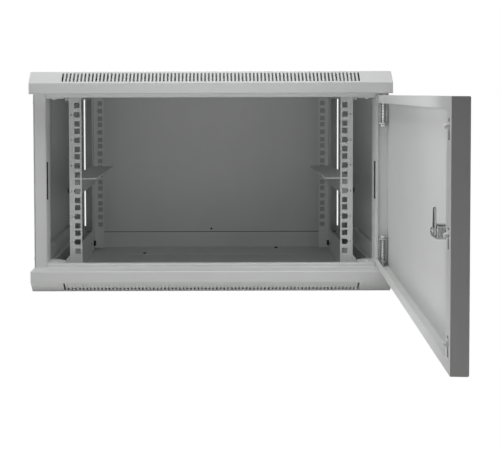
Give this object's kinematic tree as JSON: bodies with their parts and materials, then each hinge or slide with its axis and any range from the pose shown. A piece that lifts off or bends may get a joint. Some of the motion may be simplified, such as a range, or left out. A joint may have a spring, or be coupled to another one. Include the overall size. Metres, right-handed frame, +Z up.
{
  "type": "wall mount network cabinet",
  "caption": "Shallow wall mounted steel cabinet for 19 inch network equipment, with slotted covers, square hole rails, a shelf bracket on each side and a solid lockable hinged door.",
  "frame": {"origin": "in the wall plane, at the centre of the four wall bolt holes", "axes": "+X to the right as seen from the front, +Y from the front back to the wall, +Z up; the door is shown open at the right"},
  "size_m": [0.6036, 1.0165, 0.368],
  "materials": {
    "light_grey_powder_coat": "satin powder coat with a fine texture",
    "zinc_plated_steel": "bright zinc plating",
    "blackened_steel": "black oxide",
    "lock_metal": "bright chrome plating",
    "spring_steel": "dark oiled spring wire",
    "bumper_plastic": "off-white matt plastic"
  },
  "bodies": {
    "cabinet": {"bottom_cable_plate": "light_grey_powder_coat", "bottom_cover": "light_grey_powder_coat", "cable_plate_screws": "zinc_plated_steel", "fan_plate": "light_grey_powder_coat", "fan_plate_screws": "zinc_plated_steel", "front_left_post": "light_grey_powder_coat", "front_left_rack_rail": "light_grey_powder_coat", "front_right_post": "light_grey_powder_coat", "front_right_rack_rail": "light_grey_powder_coat", "ground_stud": "zinc_plated_steel", "gusset_screws": "zinc_plated_steel", "left_shelf_bracket": "light_grey_powder_coat", "left_side_panel": "light_grey_powder_coat", "lower_left_gusset": "light_grey_powder_coat", "lower_left_rail_support": "light_grey_powder_coat", "lower_left_side_beam": "light_grey_powder_coat", "lower_right_gusset": "light_grey_powder_coat", "lower_right_rail_support": "light_grey_powder_coat", "lower_right_side_beam": "light_grey_powder_coat", "rail_bolts": "blackened_steel", "rail_nuts": "blackened_steel", "rear_left_post": "light_grey_powder_coat", "rear_left_rack_rail": "light_grey_powder_coat", "rear_panel": "light_grey_powder_coat", "rear_panel_screws": "zinc_plated_steel", "rear_right_post": "light_grey_powder_coat", "rear_right_rack_rail": "light_grey_powder_coat", "right_shelf_bracket": "light_grey_powder_coat", "right_side_panel": "light_grey_powder_coat", "shelf_bracket_bolts": "blackened_steel", "shelf_bracket_nuts": "blackened_steel", "side_panel_screws": "zinc_plated_steel", "slot_baffle": "light_grey_powder_coat", "top_cable_plate": "light_grey_powder_coat", "top_cover": "light_grey_powder_coat", "upper_left_gusset": "light_grey_powder_coat", "upper_left_rail_support": "light_grey_powder_coat", "upper_left_side_beam": "light_grey_powder_coat", "upper_right_gusset": "light_grey_powder_coat", "upper_right_rail_support": "light_grey_powder_coat", "upper_right_side_beam": "light_grey_powder_coat"},
    "door": {"door_panel": "light_grey_powder_coat", "upper_hinge_bracket": "zinc_plated_steel", "lower_hinge_bracket": "zinc_plated_steel", "upper_pin_spring": "spring_steel", "lower_pin_spring": "spring_steel", "door_bumpers": "bumper_plastic", "lock_body": "lock_metal", "lock_nut": "lock_metal"},
    "upper_pin": {"upper_hinge_pin": "zinc_plated_steel", "upper_pin_clip": "zinc_plated_steel", "upper_pin_knob": "zinc_plated_steel"},
    "lower_pin": {"lower_hinge_pin": "zinc_plated_steel", "lower_pin_clip": "zinc_plated_steel", "lower_pin_knob": "zinc_plated_steel"},
    "lock_barrel": {"lock_plug": "lock_metal", "lock_cam": "lock_metal", "cam_screw": "lock_metal"}
  },
  "joints": [
    {"name": "door_hinge", "type": "hinge", "parent": "cabinet", "child": "door", "pos_m": [0.288, -0.431, 0], "axis": [0, 0, 1], "range_deg": [-86.8, 93.2]},
    {"name": "lock_turn", "type": "hinge", "parent": "door", "child": "lock_barrel", "pos_m": [0.25741, -0.97815, 0], "axis": [0.9984, -0.0558, 0], "range_deg": [0, 90]},
    {"name": "upper_pin_slide", "type": "slide", "parent": "door", "child": "upper_pin", "axis": [0, 0, -1], "range_m": [0, 0.008], "stiffness_N_per_m": 400, "springref_m": -0.005, "deforming": ["upper_pin_spring"]},
    {"name": "lower_pin_slide", "type": "slide", "parent": "door", "child": "lower_pin", "axis": [0, 0, 1], "range_m": [0, 0.008], "stiffness_N_per_m": 400, "springref_m": -0.005, "deforming": ["lower_pin_spring"]}
  ]
}
